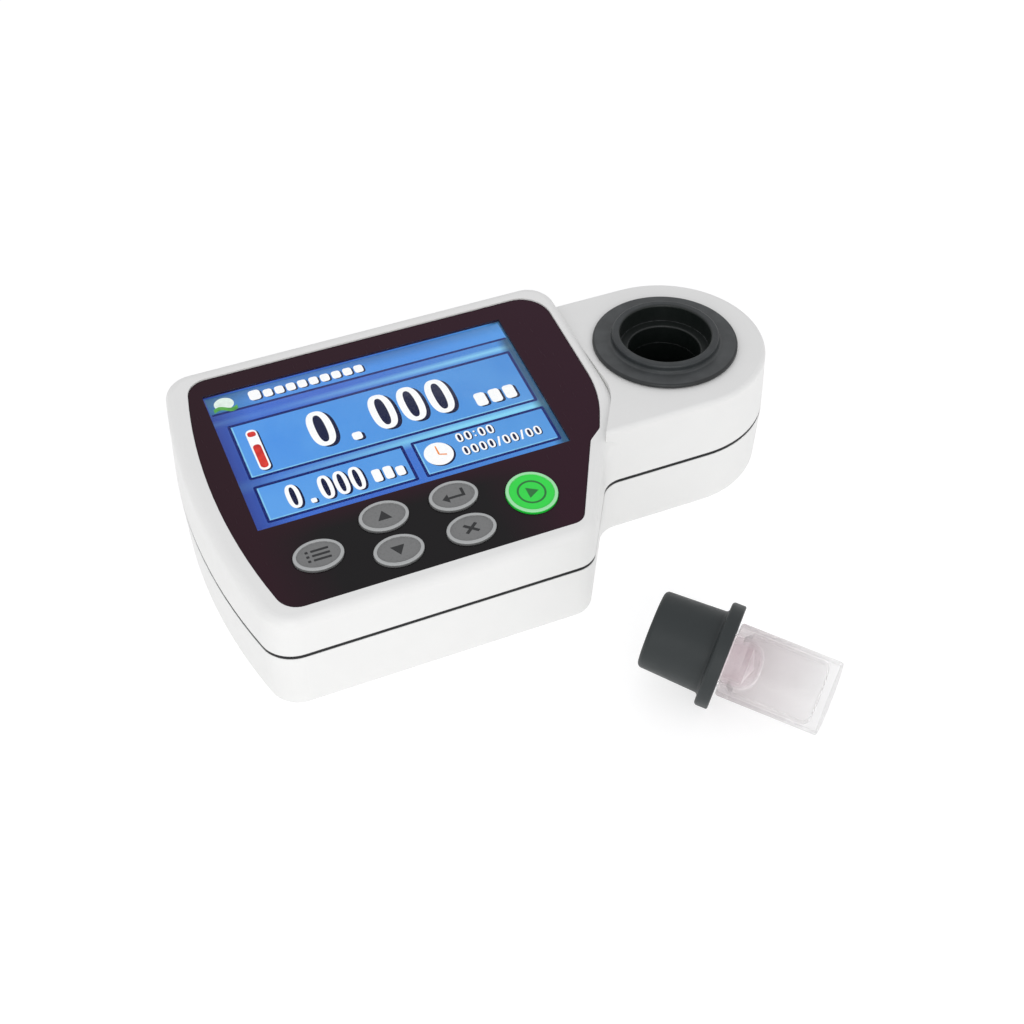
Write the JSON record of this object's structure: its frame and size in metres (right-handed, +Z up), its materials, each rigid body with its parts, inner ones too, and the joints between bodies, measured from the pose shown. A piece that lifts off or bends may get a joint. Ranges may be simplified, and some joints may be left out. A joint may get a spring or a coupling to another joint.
{
  "type": "digital water tester",
  "caption": "Portable water colour meter with a tilted display face, press keys, a round tail holding the sample well, and a capped glass vial lying beside it.",
  "frame": {"origin": "on the underside, straight below the axis of the sample well", "axes": "+X from the display towards the end of the tail, +Y to the back of the case, +Z up along the well"},
  "size_m": [0.1878, 0.1707, 0.0469],
  "materials": {
    "case_white": "satin moulded ABS",
    "seal_black": "moulded elastomer",
    "pad_rubber": "matt",
    "panel_black": "gloss, back-printed",
    "window_clear": "clear acrylic",
    "screen_blue": "lit liquid crystal display",
    "diffuser_white": "light guide",
    "stamped_steel": "stamped sheet",
    "flex_amber": "polyimide film",
    "board_green": "solder mask",
    "chip_black": "moulded epoxy",
    "screw_steel": "zinc plated",
    "cell_jacket": "printed jacket",
    "contact_nickel": "nickel plated",
    "key_grey": "satin",
    "key_green": "satin",
    "collar_charcoal": "fine matt",
    "cap_charcoal": "fine matt",
    "lamp_clear": "clear epoxy",
    "filter_glass": "coated filter",
    "cable_black": "PVC sheath",
    "cable_red": "PVC sheath",
    "vial_glass": "polished borosilicate",
    "plug_clear": "translucent silicone"
  },
  "bodies": {
    "instrument": {"backlight": "diffuser_white", "base_pads": "pad_rubber", "battery_cable": "cable_red", "battery_cells": "cell_jacket", "battery_plates": "contact_nickel", "battery_springs": "contact_nickel", "board_chips": "chip_black", "board_screws": "screw_steel", "buzzer": "chip_black", "case_gasket": "seal_black", "case_screws": "screw_steel", "collar_nut": "collar_charcoal", "collar_seal": "seal_black", "cover_seal": "seal_black", "display_cable": "flex_amber", "display_frame": "stamped_steel", "display_window": "window_clear", "face_panel": "panel_black", "lamp_board": "board_green", "lamp_cable": "cable_black", "lamp_led": "lamp_clear", "lcd_cell": "screen_blue", "lower_case": "case_white", "main_board": "board_green", "optical_filter": "filter_glass", "photodiode": "stamped_steel", "receiver_board": "board_green", "receiver_cable": "cable_black", "tact_switches": "chip_black", "upper_case": "case_white", "well_collar": "collar_charcoal", "well_tube": "collar_charcoal"},
    "key_set_body": {"key_set": "key_grey"},
    "key_up_body": {"key_up": "key_grey"},
    "key_down_body": {"key_down": "key_grey"},
    "key_enter_body": {"key_enter": "key_grey"},
    "key_cancel_body": {"key_cancel": "key_grey"},
    "key_start_body": {"key_start": "key_green"},
    "battery_hatch": {"battery_cover": "case_white", "cover_screws": "screw_steel"},
    "vial": {"vial_glass": "vial_glass"},
    "cap": {"vial_cap": "cap_charcoal", "cap_plug": "plug_clear"}
  },
  "joints": [
    {"name": "key_set_press", "type": "slide", "parent": "instrument", "child": "key_set_body", "axis": [0, 0.1236, -0.9923], "range_m": [0, 0.0006], "stiffness_N_per_m": 900},
    {"name": "key_up_press", "type": "slide", "parent": "instrument", "child": "key_up_body", "axis": [0, 0.1236, -0.9923], "range_m": [0, 0.0006], "stiffness_N_per_m": 900},
    {"name": "key_down_press", "type": "slide", "parent": "instrument", "child": "key_down_body", "axis": [0, 0.1236, -0.9923], "range_m": [0, 0.0006], "stiffness_N_per_m": 900},
    {"name": "key_enter_press", "type": "slide", "parent": "instrument", "child": "key_enter_body", "axis": [0, 0.1236, -0.9923], "range_m": [0, 0.0006], "stiffness_N_per_m": 900},
    {"name": "key_cancel_press", "type": "slide", "parent": "instrument", "child": "key_cancel_body", "axis": [0, 0.1236, -0.9923], "range_m": [0, 0.0006], "stiffness_N_per_m": 900},
    {"name": "key_start_press", "type": "slide", "parent": "instrument", "child": "key_start_body", "axis": [0, 0.1236, -0.9923], "range_m": [0, 0.0006], "stiffness_N_per_m": 900},
    {"name": "battery_cover_lift", "type": "slide", "parent": "instrument", "child": "battery_hatch", "axis": [0, 0, -1], "range_m": [0, 0.03]},
    {"name": "vial_lift", "type": "slide", "parent": "instrument", "child": "vial", "axis": [0, 0, 1], "range_m": [0, 0.06]},
    {"name": "cap_pull", "type": "slide", "parent": "vial", "child": "cap", "axis": [-0.6991, 0.6991, 0.15], "range_m": [0, 0.026]}
  ]
}
